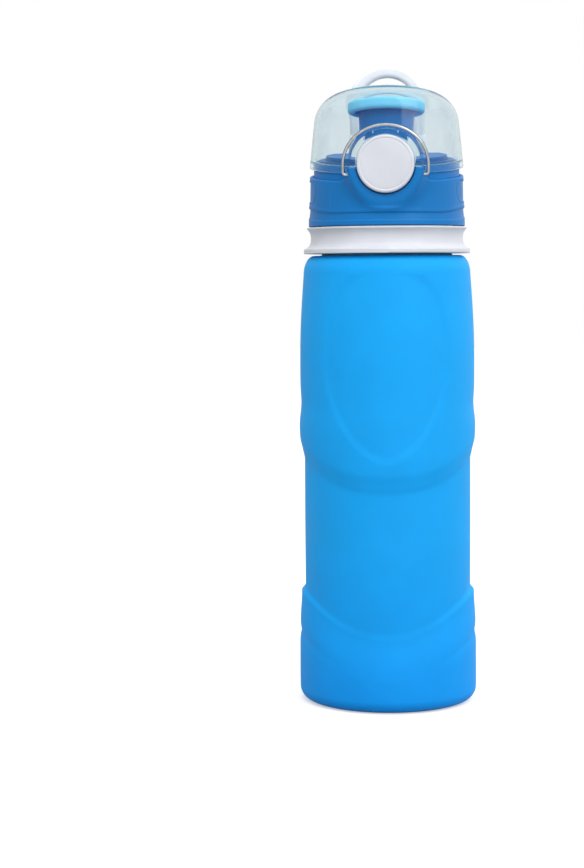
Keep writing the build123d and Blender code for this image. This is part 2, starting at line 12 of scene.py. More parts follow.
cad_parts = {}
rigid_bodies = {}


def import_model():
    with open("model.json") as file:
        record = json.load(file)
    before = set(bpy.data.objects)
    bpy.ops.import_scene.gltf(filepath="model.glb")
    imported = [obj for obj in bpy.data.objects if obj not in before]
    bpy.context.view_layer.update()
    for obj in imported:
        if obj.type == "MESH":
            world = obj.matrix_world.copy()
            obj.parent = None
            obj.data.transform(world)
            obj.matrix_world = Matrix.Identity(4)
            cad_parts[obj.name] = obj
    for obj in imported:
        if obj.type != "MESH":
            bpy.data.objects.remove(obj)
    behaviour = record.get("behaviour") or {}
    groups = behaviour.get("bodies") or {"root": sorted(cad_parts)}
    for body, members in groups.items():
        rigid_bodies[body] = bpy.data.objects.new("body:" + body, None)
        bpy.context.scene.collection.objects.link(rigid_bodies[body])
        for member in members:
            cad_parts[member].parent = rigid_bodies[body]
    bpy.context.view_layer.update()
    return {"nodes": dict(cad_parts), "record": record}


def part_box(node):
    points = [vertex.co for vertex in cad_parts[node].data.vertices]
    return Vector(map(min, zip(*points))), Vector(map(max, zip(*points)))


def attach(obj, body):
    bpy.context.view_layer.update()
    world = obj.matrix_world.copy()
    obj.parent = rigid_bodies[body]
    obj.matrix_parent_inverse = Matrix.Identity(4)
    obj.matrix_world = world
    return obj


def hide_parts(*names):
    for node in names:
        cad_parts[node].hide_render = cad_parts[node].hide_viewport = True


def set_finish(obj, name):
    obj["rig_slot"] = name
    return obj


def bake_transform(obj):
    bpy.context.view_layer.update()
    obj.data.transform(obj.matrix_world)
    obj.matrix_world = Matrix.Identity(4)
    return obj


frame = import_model()
NODES = frame["nodes"]
MM = 0.001


# ---------- shape helpers ----------
def smooth(t):
    """0 below 0, 1 above 1, and a smooth rise between."""
    t = min(1.0, max(0.0, t))
    return t * t * (3 - 2 * t)


def rise(value, middle, width):
    """A smooth step of the given width, centred on middle."""
    return smooth((value - middle) / width + 0.5)


def ridge(offset, width):
    """1 at offset 0, and a smooth fall to 0 on both sides over about the width."""
    return exp(-(offset / width) ** 2)


def curve_through(knots, z):
    """A smooth curve through (r, z) knots whose z rises (Catmull-Rom)."""
    if z <= knots[0][1]:
        return knots[0][0]
    if z >= knots[-1][1]:
        return knots[-1][0]
    i = max(k for k in range(len(knots) - 1) if knots[k][1] <= z)
    (r1, z1), (r2, z2) = knots[i], knots[i + 1]
    r0, z0 = knots[i - 1] if i else (r1, z1 - (z2 - z1))
    r3, z3 = knots[i + 2] if i + 2 < len(knots) else (r2, z2 + (z2 - z1))
    t = (z - z1) / (z2 - z1)
    slope1 = (r2 - r0) / (z2 - z0) * (z2 - z1)
    slope2 = (r3 - r1) / (z3 - z1) * (z2 - z1)
    t2, t3 = t * t, t * t * t
    return (
        (2 * t3 - 3 * t2 + 1) * r1
        + (t3 - 2 * t2 + t) * slope1
        + (3 * t2 - 2 * t3) * r2
        + (t3 - t2) * slope2
    )


def arc(centre, radius, start, end, steps):
    """Points of an arc in the (r, z) plane, angles in degrees, both ends included."""
    return [
        (centre[0] + radius * cos(radians(start + (end - start) * k / steps)),
         centre[1] + radius * sin(radians(start + (end - start) * k / steps)))
        for k in range(steps + 1)
    ]


def rounded(corners, steps=4):
    """A closed outline through (r, z, corner radius) corners, each turned into an arc."""
    outline = []
    count = len(corners)
    for i, (r, z, radius) in enumerate(corners):
        here = Vector((r, z))
        before = (Vector(corners[i - 1][:2]) - here).normalized()
        after = (Vector(corners[(i + 1) % count][:2]) - here).normalized()
        half = before.angle(after) / 2
        if radius <= 0 or half > radians(88):
            outline.append((r, z))
            continue
        reach = radius / tan(half)
        first, last = here + before * reach, here + after * reach
        middle = here + (before + after).normalized() * (radius / sin(half))
        a, b = first - middle, last - middle
        turn = a.angle_signed(b)
        for k in range(steps + 1):
            swung = Matrix.Rotation(-turn * k / steps, 2) @ a
            outline.append((middle.x + swung.x, middle.y + swung.y))
    return outline


def build(name, verts, faces, body, slot, replaces=(), normals=None):
    """A finished smooth piece from points in millimetres."""
    mesh = bpy.data.meshes.new(name)
    mesh.from_pydata([tuple(c * MM for c in v) for v in verts], [], faces)
    mesh.validate()
    mesh.update()
    mesh.shade_smooth()
    if normals is not None and len(normals) == len(mesh.vertices):
        mesh.normals_split_custom_set_from_vertices(normals)
    piece = bpy.data.objects.new(name, mesh)
    bpy.context.scene.collection.objects.link(piece)
    if body:
        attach(piece, body)
    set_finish(piece, slot)
    if replaces:
        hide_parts(*replaces)
    return piece


def skin(rings, closed=False):
    """Verts and faces over rings of points. A ring of one point is a pole.

    closed also joins the last ring to the first.
    """
    verts, starts = [], []
    for ring in rings:
        starts.append(len(verts))
        verts.extend(ring)
    faces = []
    count = max(len(ring) for ring in rings)
    pairs = list(zip(range(len(rings)), range(1, len(rings))))
    if closed:
        pairs.append((len(rings) - 1, 0))
    for a, b in pairs:
        for k in range(count):
            n = (k + 1) % count
            if len(rings[a]) == 1:
                faces.append((starts[a], starts[b] + n, starts[b] + k))
            elif len(rings[b]) == 1:
                faces.append((starts[a] + k, starts[a] + n, starts[b]))
            else:
                faces.append((starts[a] + k, starts[a] + n, starts[b] + n, starts[b] + k))
    return verts, faces


def ring_of(radius, z, count):
    """A level ring about the bottle's axis; radius is a number or radius(angle), angle 0 in front."""
    varies = callable(radius)
    if not varies and radius < 1e-6:
        return [(0.0, 0.0, z)]
    points = []
    for k in range(count):
        angle = 2 * pi * k / count
        r = radius(angle) if varies else radius
        points.append((r * sin(angle), -r * cos(angle), z))
    return points


def lathe(name, outline, body, slot, count=192, closed=True, replaces=()):
    """A turned piece from an outline in (r, z)."""
    verts, faces = skin([ring_of(r, z, count) for r, z in outline], closed)
    return build(name, verts, faces, body, slot, replaces)


END_STEPS = (0.25, 0.6, 0.85)


def tube_rings(path, radius, sides=14):
    """Rings of a round wire along a path of Vectors, with rounded ends."""
    tangents = []
    for i in range(len(path)):
        tangents.append((path[min(i + 1, len(path) - 1)] - path[max(i - 1, 0)]).normalized())
    side = tangents[0].orthogonal().normalized()
    stations = []
    for i, (point, tangent) in enumerate(zip(path, tangents)):
        if i:
            side = tangents[i - 1].rotation_difference(tangent) @ side
        side = (side - tangent * side.dot(tangent)).normalized()
        stations.append((point, tangent, side))

    def ring(point, tangent, across, scale):
        up = tangent.cross(across)
        turns = [2 * pi * k / sides for k in range(sides)]
        return [tuple(point + (across * cos(t) + up * sin(t)) * radius * scale) for t in turns]

    rings = []
    point, tangent, across = stations[0]
    rings.append([tuple(point - tangent * radius)])
    for part in END_STEPS:
        rings.append(ring(point - tangent * radius * sqrt(1 - part * part), tangent, across, part))
    rings.extend(ring(*station, 1.0) for station in stations)
    point, tangent, across = stations[-1]
    for part in reversed(END_STEPS):
        rings.append(ring(point + tangent * radius * sqrt(1 - part * part), tangent, across, part))
    rings.append([tuple(point + tangent * radius)])
    return rings


def wire(name, path, radius, body, slot, sides=14, replaces=()):
    """A bent round wire."""
    verts, faces = skin(tube_rings([Vector(p) for p in path], radius, sides))
    return build(name, verts, faces, body, slot, replaces)


# ---------- blended solids ----------
def soft_max(a, b, k):
    """The larger of two distances, with the corner between them rounded over about k."""
    h = np.clip(0.5 - 0.5 * (b - a) / k, 0.0, 1.0)
    return b * (1 - h) + a * h + k * h * (1 - h)


def soft_min(a, b, k):
    """The smaller of two distances, with the hollow between them filled over about k."""
    return -soft_max(-a, -b, k)


def round_max(a, b, radius):
    """The larger of two distances, with a round edge of the given radius where they cross."""
    u, v = np.maximum(a + radius, 0), np.maximum(b + radius, 0)
    return np.minimum(np.maximum(a, b), -radius) + np.sqrt(u * u + v * v)


def ramp(t):
    """Smooth 0 to 1 for t from 0 to 1."""
    t = np.clip(t, 0.0, 1.0)
    return t * t * (3 - 2 * t)


def solid_of_field(field, low, high, step):
    """Verts, quads and normals of the surface where field(x, y, z) is zero; it is negative inside."""
    axes = [np.arange(a, b + step, step) for a, b in zip(low, high)]
    values = field(*np.meshgrid(*axes, indexing="ij", sparse=True))
    inside = values < 0
    cells = tuple(n - 1 for n in inside.shape)
    corners = [(i, j, k) for i in (0, 1) for j in (0, 1) for k in (0, 1)]

    def corner(array, c):
        return array[c[0]:c[0] + cells[0], c[1]:c[1] + cells[1], c[2]:c[2] + cells[2]]

    count = sum(corner(inside, c).astype(np.int8) for c in corners)
    active = (count > 0) & (count < 8)
    index = np.full(cells, -1, dtype=np.int64)
    index[active] = np.arange(int(active.sum()))
    where = np.argwhere(active)
    total, hits = np.zeros((len(where), 3)), np.zeros(len(where))
    for c in corners:
        for axis in range(3):
            if c[axis]:
                continue
            d = tuple(c[n] + (n == axis) for n in range(3))
            va, vb = corner(values, c)[active], corner(values, d)[active]
            cross = (va < 0) != (vb < 0)
            t = np.where(cross, va / np.where(cross, va - vb, 1.0), 0.0)
            point = np.array(c)[None, :] + t[:, None] * np.eye(3)[axis][None, :]
            total += point * cross[:, None]
            hits += cross
    verts = (where + total / hits[:, None]) * step + np.array([a[0] for a in axes])

    def slope_at(points, reach=0.03):
        sides = []
        for axis in range(3):
            ahead, behind = points.copy(), points.copy()
            ahead[:, axis] += reach
            behind[:, axis] -= reach
            sides.append(field(*ahead.T) - field(*behind.T))
        return np.stack(sides, axis=1) / (2 * reach)

    for _ in range(3):
        slope = slope_at(verts)
        move = -field(*verts.T)[:, None] * slope / np.maximum((slope ** 2).sum(axis=1), 0.2)[:, None]
        reach = np.linalg.norm(move, axis=1, keepdims=True)
        verts += move * np.minimum(1.0, 0.3 * step / np.maximum(reach, 1e-9))
    faces = []
    for axis in range(3):
        b, c = (axis + 1) % 3, (axis + 2) % 3
        first = [slice(1, -1)] * 3
        first[axis] = slice(0, -1)
        second = list(first)
        second[axis] = slice(1, None)
        here, there = inside[tuple(first)], inside[tuple(second)]
        spots = np.argwhere(here != there) + np.array([0 if n == axis else 1 for n in range(3)])
        outward = here[here != there]
        quad = []
        for back_b, back_c in ((1, 1), (0, 1), (0, 0), (1, 0)):
            cell = spots.copy()
            cell[:, b] -= back_b
            cell[:, c] -= back_c
            quad.append(index[tuple(cell.T)])
        quad = np.stack(quad, axis=1)
        faces.append(np.where(outward[:, None], quad, quad[:, ::-1]))
    normals = slope_at(verts, 0.08)
    normals /= np.maximum(np.linalg.norm(normals, axis=1, keepdims=True), 1e-9)
    return verts.tolist(), np.concatenate(faces).tolist(), normals.tolist()


# ---------- materials ----------
class Nodes:
    """A small helper for building one material's node tree."""

    def __init__(self, name):
        self.material = bpy.data.materials.new(name)
        self.material.use_nodes = True
        self.tree = self.material.node_tree
        self.tree.nodes.clear()
        self.output = self.add("ShaderNodeOutputMaterial")
        self.place = self.add("ShaderNodeTexCoord")

    def add(self, kind, inputs=None, **settings):
        node = self.tree.nodes.new(kind)
        for key, value in settings.items():
            setattr(node, key, value)
        for key, value in (inputs or {}).items():
            self.put(node.inputs[key], value)
        return node

    def put(self, socket, value):
        if isinstance(value, bpy.types.NodeSocket):
            self.tree.links.new(value, socket)
        else:
            socket.default_value = value

    def noise(self, scale, detail=2.0, stretch=(1, 1, 1)):
        """Noise in object space; scale is in features a metre."""
        place = self.place.outputs["Object"]
        spot = self.add("ShaderNodeMapping", {"Vector": place, "Scale": stretch}).outputs[0]
        inputs = {"Vector": spot, "Scale": scale, "Detail": detail}
        return self.add("ShaderNodeTexNoise", inputs).outputs["Fac"]

    def math(self, operation, a, b):
        return self.add("ShaderNodeMath", {0: a, 1: b}, operation=operation).outputs[0]

    def scaled(self, value, low, high, from_low=0.3, from_high=0.7):
        """The value's from_low to from_high turned into low to high; noise spans the default range."""
        node = self.add("ShaderNodeMapRange", {
            "Value": value,
            "From Min": from_low,
            "From Max": from_high,
            "To Min": low,
            "To Max": high,
        })
        return node.outputs["Result"]

    def mix(self, factor, a, b, blend="MIX"):
        node = self.add("ShaderNodeMix", data_type="RGBA", blend_type=blend)
        self.put(node.inputs[0], factor)
        self.put(node.inputs[6], a)
        self.put(node.inputs[7], b)
        return node.outputs[2]

    def bump(self, height, strength, distance, normal=None):
        inputs = {"Height": height, "Strength": strength, "Distance": distance}
        if normal is not None:
            inputs["Normal"] = normal
        return self.add("ShaderNodeBump", inputs).outputs["Normal"]

    def finish(self, shader):
        self.tree.links.new(shader, self.output.inputs["Surface"])
        return self.material


def tone(colour, factor):
    """The colour made lighter or darker, with full alpha."""
    return tuple(min(1.0, c * factor) for c in colour[:3]) + (1.0,)


# Height in metres over which the painted shade at the flask's foot fades out.
FOOT_SHADE_HEIGHT = 0.07
DARKER, LIGHTER = 0.965, 1.03


def silicone(name, colour, soft=0.15, foot_shade=1.0):
    """Matte moulded silicone: fine grain, faint cloudiness, a dusty sheen, and convex edges lightened as
    wear and as a painted sheen.

    The last argument, below 1, paints shade towards the foot: green and red darken low on the flask.
    """
    m = Nodes(name)
    cloud = m.noise(60, 4)
    grain = m.noise(2600, 2)
    base = m.mix(m.scaled(cloud, 0, 1), tone(colour, DARKER), tone(colour, LIGHTER))
    edge = m.add("ShaderNodeNewGeometry").outputs["Pointiness"]
    # Convex edges and crease lips are lightened: partly wear, partly a painted sheen.
    wear_and_painted_light = m.mix(m.scaled(edge, 0.0, 0.3, 0.51, 0.57), base, tone(colour, 1.12))
    height = m.add("ShaderNodeSeparateXYZ", {0: m.place.outputs["Object"]}).outputs["Z"]
    # Painted shade: red and green darken towards the flask's foot.
    if foot_shade < 1:
        foot_shade_mask = m.scaled(height, 1.0, 0.0, 0.0, FOOT_SHADE_HEIGHT)
        wear_and_painted_light = m.mix(foot_shade_mask, wear_and_painted_light, (0.6, foot_shade, 1.0, 1), blend="MULTIPLY")
    relief = m.bump(grain, 0.12, 0.0002)
    shader = m.add("ShaderNodeBsdfPrincipled", {
        "Base Color": wear_and_painted_light,
        "Roughness": m.scaled(cloud, 0.48, 0.6),
        "IOR": 1.41,
        "Subsurface Weight": soft,
        "Subsurface Radius": (0.6, 1.0, 1.4),
        "Subsurface Scale": 0.0018,
        "Specular IOR Level": 0.18,
        "Sheen Weight": 0.02,
        "Sheen Roughness": 0.45,
        "Normal": relief,
    })
    return m.finish(shader.outputs[0])


def plastic(name, colour, rough, shine, wear=0.25, hollow=0.45, milk=0.06):
    """Injection-moulded plastic: faint flow mottle, fine spark texture, lighter handled edges.

    hollow is the colour factor of the painted shade in grooves and corners, and milk is how far light
    soaks in.
    """
    m = Nodes(name)
    mottle = m.noise(90, 3)
    spark = m.noise(4200, 1)
    streak = m.noise(300, 2, (1, 1, 0.15))
    base = m.mix(m.scaled(mottle, 0, 1), tone(colour, DARKER), tone(colour, LIGHTER))
    edge = m.add("ShaderNodeNewGeometry").outputs["Pointiness"]
    wear_and_painted_light = m.mix(m.scaled(edge, 0.0, wear, 0.51, 0.6), base, tone(colour, 1.35))
    # Painted shade: grooves and corners darken towards the hollow factor where local ambient occlusion
    # finds them closed in.
    nearby = m.add("ShaderNodeAmbientOcclusion", {"Distance": 0.003}, samples=4, only_local=True)
    openness = m.scaled(nearby.outputs["AO"], 0.0, 1.0, 0.25, 0.95)
    wear_and_painted_light = m.mix(openness, tone(colour, hollow), wear_and_painted_light)
    relief = m.bump(spark, 0.07, 0.0001)
    shader = m.add("ShaderNodeBsdfPrincipled", {
        "Base Color": wear_and_painted_light,
        "Roughness": m.scaled(streak, rough - 0.04, rough + 0.06),
        "IOR": 1.49,
        "Specular IOR Level": shine,
        "Subsurface Weight": milk,
        "Subsurface Radius": (0.7, 0.9, 1.0),
        "Subsurface Scale": 0.0008 + 0.006 * milk,
        "Normal": relief,
    })
    return m.finish(shader.outputs[0])


MOST_BOUNCES = 4.5


def clear_plastic(name):
    """Tinted clear plastic: refracts for the eye, lets light through to what it covers.

    A ray that has bounced often goes straight through too, so that no rim ends up black.
    """
    m = Nodes(name)
    scuff = m.noise(500, 3, (1, 1, 0.3))
    wave = m.noise(40, 1)
    relief = m.bump(wave, 0.03, 0.0006)
    glass = m.add("ShaderNodeBsdfGlass", {
        "Color": (0.957, 0.971, 0.98, 1),
        "Roughness": m.scaled(scuff, 0.0, 0.03),
        "IOR": 1.3,
        "Normal": relief,
    })
    clear = m.add("ShaderNodeBsdfTransparent", {"Color": (0.93, 0.965, 0.975, 1)})
    path = m.add("ShaderNodeLightPath")
    lost = m.math("GREATER_THAN", path.outputs["Ray Depth"], MOST_BOUNCES)
    straight = m.math("MAXIMUM", path.outputs["Is Shadow Ray"], lost)
    straight = m.math("MAXIMUM", straight, path.outputs["Is Diffuse Ray"])
    shader = m.add("ShaderNodeMixShader", {0: straight, 1: glass.outputs[0], 2: clear.outputs[0]})
    tint = m.add("ShaderNodeVolumeAbsorption", {"Color": (0.32, 0.58, 0.62, 1), "Density": 75.0})
    m.tree.links.new(tint.outputs[0], m.output.inputs["Volume"])
    return m.finish(shader.outputs[0])


def steel(name):
    """Drawn stainless wire: fine lengthways lines, and a bright middle with dark rims painted in as
    reflection.
    """
    m = Nodes(name)
    lines = m.noise(1500, 3, (1, 1, 0.1))
    facing = m.add("ShaderNodeLayerWeight", {"Blend": 0.5}).outputs["Facing"]
    bright = m.mix(m.scaled(lines, 0, 1), (0.56, 0.57, 0.59, 1), (0.76, 0.77, 0.78, 1))
    shader = m.add("ShaderNodeBsdfPrincipled", {
        # Painted reflection: the base colour darkens towards the wire's rims.
        "Base Color": m.mix(m.scaled(facing, 0, 1, 0.12, 0.5), bright, (0.07, 0.09, 0.12, 1)),
        "Metallic": 1.0,
        "Roughness": m.scaled(lines, 0.16, 0.3),
        "Normal": m.bump(lines, 0.1, 0.00005),
    })
    return m.finish(shader.outputs[0])


FINISH = {
    "silicone_blue": silicone("silicone_blue", (0.008, 0.376, 0.88), foot_shade=0.85),
    "silicone_light": silicone("silicone_light", (0.25, 0.70, 1.0), soft=0.45),
    "plastic_blue": plastic("plastic_blue", (0.004, 0.168, 0.48), 0.40, 0.22),
    "plastic_white": plastic(
        "plastic_white", (0.64, 0.655, 0.71), 0.34, 0.4, wear=0.0, hollow=0.8),
    # A brighter copy of the white plastic for the carry handle: partly milky translucency, partly painted
    # light for the light it lacks behind the cover.
    "plastic_milky_lit": plastic(
        "plastic_milky_lit", (0.80, 0.80, 0.81), 0.36, 0.3, wear=0.0, hollow=1.0, milk=0.6),
    "clear_plastic": clear_plastic("clear_plastic"),
    "steel": steel("steel"),
}


def paint(piece, slot):
    piece.data.materials.clear()
    piece.data.materials.append(FINISH[slot])


# ---------- flask ----------
def box_mm(node):
    """A CAD node's lowest and highest corners, in millimetres."""
    low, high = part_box(node)
    return low / MM, high / MM


NECK_TOP = box_mm("flask")[1].z
WALL, FLOOR_T = 2.4, 4.0
SHOULDER_Z, NECK_R, NECK_BORE, BEAD_R = 189.2, 25.7, 23.4, 27.2
BAND_SEAT_R, BAND_SEAT_Z = 28.6, 188.0
FLAT_R, TURN_Z, LIP_R = 32.0, 181.3, 30.8
FOOT_R, WAIST_R, LOBE_R, FOOT_ROUND = 37.65, 35.25, 37.2, 5.6
# The upper half's side and the inside of the wall, as (radius, height).
UPPER_SIDE = [
    (37.3, 100), (LOBE_R, 118), (37.0, 128), (36.95, 145), (36.8, 153),
    (36.45, 162), (35.95, 170.5), (35.35, 179), (35.1, 183),
]
INSIDE = [
    (35.0, 6), (35.0, 30), (33.1, 56), (33.1, 92), (34.6, 112), (34.6, 150), (33.9, 174), (32.8, 180),
]
# The underside's shallow recess and the inside's floor, as (radius, height).
RECESS = [
    (8, 1.0), (18, 1.0), (25, 1.0), (26.2, 0.85), (27.0, 0.35), (28.0, 0.05), (29.5, 0.0), (FLAT_R, 0.0),
]
INSIDE_FLOOR = [(34.9, 8.0), (34.4, 6.0), (33.2, 4.6), (31.5, FLOOR_T), (18, FLOOR_T)]
# Each crease: its height in front, how far it climbs towards the sides, and the climb's power.
CREASES = ((92.0, 12.8, 2.6), (32.0, 16.0, 2), (15.0, 13.8, 2))
# The waist opens into the lobe in three steps: share, height over the crease, width.
LOBE_STEPS = ((0.20, 0.6, 3.2), (0.58, 3.8, 8), (0.22, 8, 16))
PANEL_Z, PANEL_HALF_H, PANEL_HALF_W, PANEL_DEPTH, PANEL_MEAN_R = 144.0, 39.0, 25.4, 0.55, 30.0


def panel_edge(angle, z):
    """About how many millimetres a point lies outside the nearest grip panel; negative inside."""
    across = abs(sin(angle)) * LOBE_R if abs(sin(angle)) < 0.999 else LOBE_R
    up = (z - PANEL_Z) / PANEL_HALF_H
    power = 3.0 if up > 0 else 1.75
    reach = (abs(up) ** power + (across / PANEL_HALF_W) ** power) ** (1 / power)
    return (reach - 1) * PANEL_MEAN_R


def flask_radius(angle, z):
    """Outer radius of the flask's side, with its grip panels, creases and lobes."""
    side = abs(sin(angle))
    crease_1, crease_2, crease_3 = (low + climb * side ** power for low, climb, power in CREASES)
    # The waist, the foot's swell under the second crease and the lobe over the first.
    upper = sum(share * rise(z, crease_1 + up, width) for share, up, width in LOBE_STEPS)
    sharp = 0.09 + 0.56 * side ** 4
    lower = sharp * rise(-z, -crease_2, 3.8 - 1.2 * side) + (1 - sharp) * rise(-z, -(crease_2 - 8), 18)
    radius = WAIST_R + (FOOT_R - WAIST_R) * lower + (curve_through(UPPER_SIDE, z) - WAIST_R) * upper
    # Soft lips along the upper two creases, a dent at the sides and a step at the third.
    radius += 0.13 * ridge(z - crease_1 - 0.6, 1.6) + 0.06 * ridge(z - crease_2 + 1.2, 1.6)
    radius -= 0.50 * side ** 4 * ridge(z - crease_3 - 0.8, 2.4)
    radius += 0.13 * rise(-z, -crease_3, 2.2) - 0.13 * rise(-z, -6, 10)
    # The lobe's bulge and dip at the sides, the grip panels, and a slight unevenness of soft rubber.
    radius += side ** 6 * (0.25 * ridge(z - 116, 6) - 0.4 * ridge(z - 127, 5))
    radius -= PANEL_DEPTH * rise(-panel_edge(angle, z), 0, 3.6)
    radius += 0.10 * sin(2 * angle + z / 23) * sin(z / 41 + 1)
    return radius


def foot_ring(turn, count):
    """A ring of the rounded foot, from the flat underside (turn 0) to the side (a quarter turn)."""
    def radius(angle):
        return FLAT_R + (flask_radius(angle, FOOT_ROUND) - FLAT_R) * sin(turn)

    return ring_of(radius, FOOT_ROUND * (1 - cos(turn)), count)


def shoulder_ring(turn, count):
    """A ring of the rounded shoulder, from the side (turn 0) to the lip (a quarter turn)."""
    def radius(angle):
        return LIP_R + (flask_radius(angle, TURN_Z) - LIP_R) * cos(turn)

    return ring_of(radius, TURN_Z + (SHOULDER_Z - TURN_Z) * sin(turn), count)


def make_flask():
    """The silicone body, outside first and then the inside, as rings from the underside to the floor."""
    count = 320
    side_step, inside_step = 0.7, 4.0
    foot_steps, shoulder_steps = 12, 14
    rings = [[(0, 0, 1.0)]]
    rings += [ring_of(r, z, count) for r, z in RECESS]
    rings += [foot_ring(radians(90 * k / foot_steps), count) for k in range(1, foot_steps)]
    z = FOOT_ROUND
    while z < TURN_Z - 0.4:
        rings.append(ring_of(lambda angle: flask_radius(angle, z), z, count))
        z += side_step
    rings += [shoulder_ring(radians(90 * k / shoulder_steps), count) for k in range(shoulder_steps + 1)]
    neck = [
        (BAND_SEAT_R + 0.8, SHOULDER_Z), (BAND_SEAT_R + 0.3, SHOULDER_Z - 0.15),
        (BAND_SEAT_R, SHOULDER_Z - 0.6), (BAND_SEAT_R, BAND_SEAT_Z + 0.3),
        (BAND_SEAT_R - 0.3, BAND_SEAT_Z), (NECK_R + 0.4, BAND_SEAT_Z), (NECK_R, BAND_SEAT_Z + 0.4),
        (NECK_R, 196.3), (NECK_R + 0.2, 196.55), (BEAD_R - 0.4, 196.65), (BEAD_R - 0.05, 196.95),
        (BEAD_R, 197.4), (BEAD_R, 198.8), (BEAD_R - 0.15, NECK_TOP - 0.15), (BEAD_R - 0.5, NECK_TOP),
        (NECK_BORE + 0.3, NECK_TOP), (NECK_BORE, NECK_TOP - 0.3), (NECK_BORE, 187.0),
        (NECK_BORE + 0.4, 186.1), (NECK_BORE + 1.5, BAND_SEAT_Z - WALL),
        (30.0, BAND_SEAT_Z - WALL),
    ]
    rings += [ring_of(r, z, count) for r, z in neck]
    rings += [ring_of(r, z, count) for r, z in arc((30.2, 183.0), 2.6, 80, 10, 5)]
    z = 180.0
    while z > 9.0:
        rings.append(ring_of(curve_through(INSIDE, z), z, count))
        z -= inside_step
    rings += [ring_of(r, z, count) for r, z in INSIDE_FLOOR]
    rings.append([(0, 0, FLOOR_T)])
    verts, faces = skin(rings)
    return build("flask_soft", verts, faces, "flask_unit", "silicone_blue", ["flask"])


# ---------- soft rings ----------
def make_roll_band():
    """The stowed band: a soft round cord, a little flattened where it sits on the shoulder."""
    low, high = box_mm("roll_band")
    half = (high.z - low.z) / 2
    centre_r, centre_z = high.x - half, (low.z + high.z) / 2
    outline = []
    for t in (2 * pi * k / 20 for k in range(20)):
        flat = 0.92 if sin(t) < 0 else 1.0
        r = centre_r + half * cos(t) * (1.0 - 0.05 * sin(t))
        outline.append((r, centre_z + half * sin(t) * flat))
    return lathe("roll_band_soft", outline, "flask_unit", "silicone_light", 160, replaces=["roll_band"])


def make_gasket():
    """The cap's seal, with two sealing beads on its lower face."""
    low, high = box_mm("cap_gasket")
    inner, outer = 24.9, high.x
    under, bead_depth, steps = low.z + 0.3, 0.28, 24
    corners = [(inner, under, 0.2), (inner, high.z, 0.3), (outer, high.z, 0.3), (outer, under, 0.2)]
    outline = rounded(corners)
    for k in range(1, steps):
        r = inner + (outer - inner) * (steps - k) / steps
        outline.append((r, under - bead_depth * abs(sin(2 * pi * k / steps)) ** 1.5))
    return lathe("cap_gasket_soft", outline, "gasket", "silicone_light", 128, replaces=["cap_gasket"])


def make_vent_seal():
    """The vent's rubber disc, with a sealing bead on its lower face."""
    low, high = box_mm("vent_seal")
    centre_y = (low.y + high.y) / 2
    radius = high.x
    outline = [
        (0.0, high.z), (1.2, high.z), (1.5, high.z - 0.2), (radius - 0.4, high.z - 0.35),
        (radius, high.z - 0.6), (radius - 0.1, low.z + 0.2), (radius - 0.4, low.z),
        (radius - 0.9, low.z + 0.2), (0.0, low.z + 0.2),
    ]
    verts, faces = skin([ring_of(r, z, 48) for r, z in outline])
    verts = [(x, y + centre_y, z) for x, y, z in verts]
    return build("vent_seal_soft", verts, faces, "vent", "silicone_light", ["vent_seal"])


# ---------- spout seal ----------
SPOUT_TILT, SPOUT_TOP_Z = 9.0, 251.0
# The seal's outline as (half width, half depth, height over the spout's rim): crown, skirt, plug.
SEAL_RINGS = [
    (0, 0, 2.9), (6, 3.5, 2.92), (12, 8, 2.9), (14.9, 10.5, 2.75), (15.8, 11.3, 2.4), (16.2, 11.7, 1.8),
    (16.3, 11.8, 1.0), (16.25, 11.75, 0.2), (16.3, 11.8, -0.8), (16.2, 11.7, -1.6), (15.7, 11.2, -2.3),
    (14.8, 10.4, -2.6), (13.9, 9.6, -2.5), (13.3, 9.1, -2.0), (13.05, 8.95, -1.2), (13.0, 8.9, -0.2),
    (12.8, 8.7, 0.1), (10.4, 6.3, 0.1), (9.7, 5.8, -0.1), (9.45, 5.55, -0.6), (9.3, 5.4, -1.2),
    (8.6, 4.8, -1.6), (5, 2.5, -1.6), (0, 0, -1.6),
]


def make_spout_seal():
    """The soft pad that caps the spout, kept just under the clear cover's roof."""
    tilt = radians(SPOUT_TILT)
    across, along = Vector((1, 0, 0)), Vector((0, cos(tilt), -sin(tilt)))
    up = across.cross(along)
    origin = Vector((0, 0, SPOUT_TOP_Z))
    count = 96
    loops = []
    turns = [-2 * pi * k / count for k in range(count)]
    for rx, ry, h in SEAL_RINGS:
        if rx == 0:
            loops.append([tuple(origin + up * h)])
            continue
        loops.append([tuple(origin + across * rx * cos(t) + along * ry * sin(t) + up * h) for t in turns])
    verts, faces = skin(loops)
    roof_gap = 0.06
    roof_r = DOME_R - COVER_T - roof_gap
    roof = [DOME_TOP - DOME_R + sqrt(roof_r ** 2 - x ** 2 - (y - DOME_Y) ** 2) for x, y, z in verts]
    verts = [(x, y, min(z, top)) for (x, y, z), top in zip(verts, roof)]
    return build("spout_seal_soft", verts, faces, "cover", "silicone_light", ["spout_seal"])


# ---------- cap shell ----------
SEAM_Z, SEAM_TILT = 228.8, 7.3
SHELL_BORE, SHELL_R, CAP_LOW, GROOVE_LOW = 30.75, 32.5, 201.35, 6.0
BUTTON_Z, BOSS_R, BOSS_FACE, POCKET_R = 226.0, 15.6, -33.4, 12.2
GRIP_Y, GRIP_Z, GRIP_HALF, GRIP_R = 0.5, 216.0, 14.25, 4.5
BAIL_Y, BAIL_Z, BAIL_HOLE = -31.2, 221.8, 0.8
LEDGE_Z, LEDGE_CLIMB, FOOT_LINE_Z, FOOT_LINE_CLIMB = 206.8, 2.3, 203.4, 2.6
SEAM_GAP = 0.12


def above_seam(y, z):
    """Height over the tilted plane where cap and cover meet."""
    return (z - SEAM_Z) * cos(radians(SEAM_TILT)) - y * sin(radians(SEAM_TILT))


